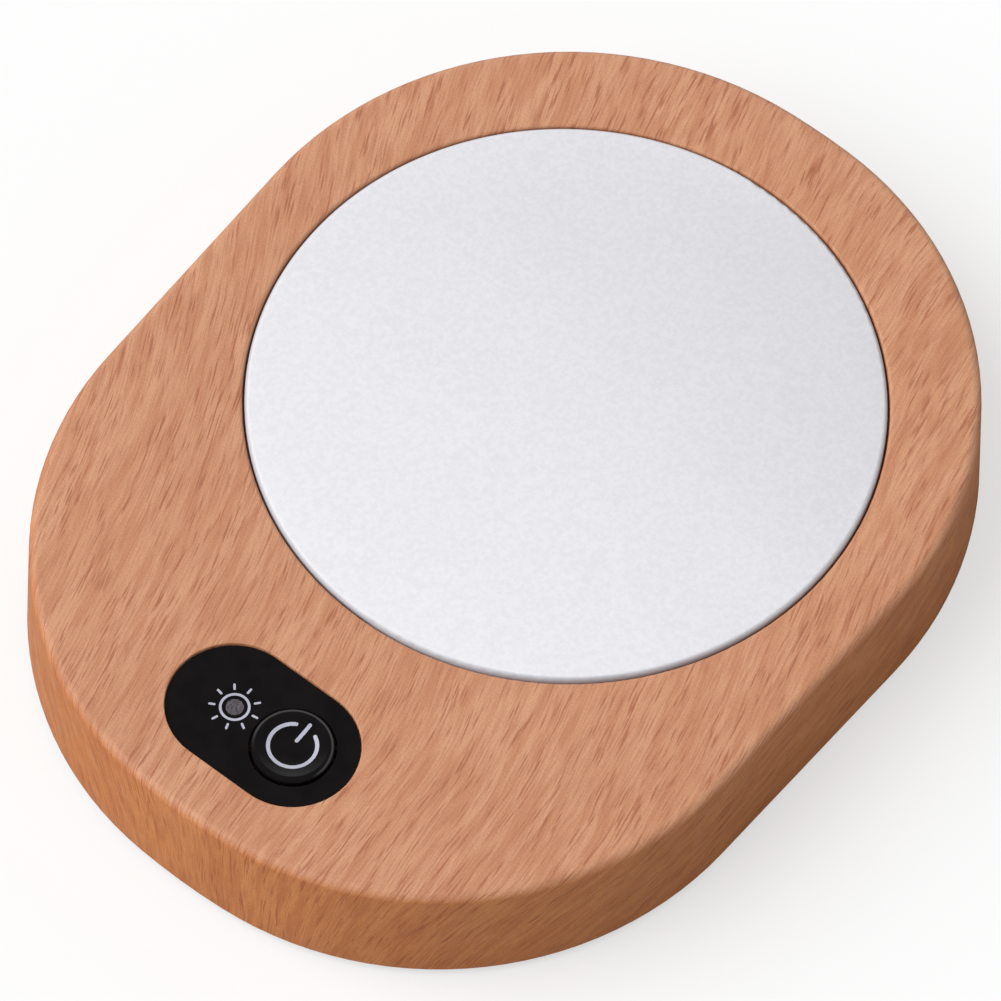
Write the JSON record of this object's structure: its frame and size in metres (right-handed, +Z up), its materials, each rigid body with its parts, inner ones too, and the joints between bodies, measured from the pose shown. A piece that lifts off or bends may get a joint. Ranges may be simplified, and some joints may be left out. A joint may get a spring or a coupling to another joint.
{
  "type": "electric mug warmer",
  "caption": "Low stadium-shaped desktop mug warmer with a wood-look body, a round heating plate and a glossy control panel with a push button.",
  "frame": {"origin": "middle of the body's footprint, on the surface the feet stand on", "axes": "+Z up; +Y from the control panel towards the heating plate; +X to the user's right"},
  "size_m": [0.11, 0.14, 0.0203],
  "materials": {
    "wood_look_plastic": "printed wood-look film under a satin lacquer",
    "black_base_plastic": "fine spark-textured moulded plastic",
    "black_gloss_plastic": "polished black plastic",
    "satin_aluminium": "bead-blasted and clear anodised",
    "sheet_steel": "plain rolled sheet",
    "plated_steel": "nickel-plated",
    "silicone_dark": "dark brown silicone",
    "black_rubber": "soft matt rubber",
    "mica": "pressed mica sheet",
    "ceramic_felt": "ceramic-fibre felt",
    "heater_alloy": "etched resistance alloy",
    "milky_plastic": "milky translucent light guide",
    "circuit_board": "glass-epoxy laminate with solder mask",
    "chip_epoxy": "moulded epoxy",
    "connector_nylon": "natural nylon",
    "contact_gilt": "gilt contacts",
    "red_silicone_lead": "silicone lead insulation",
    "black_silicone_lead": "silicone lead insulation",
    "white_lead": "thin lead insulation",
    "adhesive_film": "double-sided tape",
    "label_paper": "blank matt label stock"
  },
  "bodies": {
    "body": {"board_screws": "plated_steel", "bottom_cover": "black_base_plastic", "chip_resistors": "chip_epoxy", "clamp_plate": "sheet_steel", "control_board": "circuit_board", "control_panel": "black_gloss_plastic", "controller_chip": "chip_epoxy", "cover_screws": "plated_steel", "filter_capacitors": "chip_epoxy", "foot_front_left": "black_rubber", "foot_front_right": "black_rubber", "foot_rear_left": "black_rubber", "foot_rear_right": "black_rubber", "fuse_clip": "sheet_steel", "heat_shield": "sheet_steel", "heater_header": "connector_nylon", "heater_lead_fused": "red_silicone_lead", "heater_lead_return": "black_silicone_lead", "heater_lower_mica": "mica", "heater_plug": "connector_nylon", "heater_terminals": "plated_steel", "heater_track": "heater_alloy", "heater_upper_mica": "mica", "heating_plate": "satin_aluminium", "inlet_board": "circuit_board", "inlet_board_screws": "plated_steel", "inlet_contacts": "contact_gilt", "inlet_shell": "plated_steel", "inlet_tongue": "chip_epoxy", "insulation_pad": "ceramic_felt", "light_pipe": "milky_plastic", "panel_adhesive": "adhesive_film", "plate_gasket": "silicone_dark", "plate_screws": "plated_steel", "power_transistor": "chip_epoxy", "rating_label": "label_paper", "sensor_header": "connector_nylon", "sensor_holder": "connector_nylon", "sensor_lead_left": "white_lead", "sensor_lead_right": "white_lead", "sensor_plug": "connector_nylon", "shield_grommet": "black_rubber", "status_led": "milky_plastic", "supply_header": "connector_nylon", "supply_lead_left": "black_silicone_lead", "supply_lead_right": "red_silicone_lead", "supply_plug": "connector_nylon", "switch_cover": "sheet_steel", "switch_dome": "sheet_steel", "switch_housing": "chip_epoxy", "temperature_sensor": "satin_aluminium", "thermal_fuse": "plated_steel", "top_shell": "wood_look_plastic"},
    "power_button": {"power_button": "black_gloss_plastic", "switch_plunger": "chip_epoxy"}
  },
  "joints": [
    {"name": "power_button_press", "type": "slide", "parent": "body", "child": "power_button", "axis": [0, 0, 1], "range_m": [-0.00035, 0], "stiffness_N_per_m": 3000, "deforming": ["switch_dome"]}
  ]
}
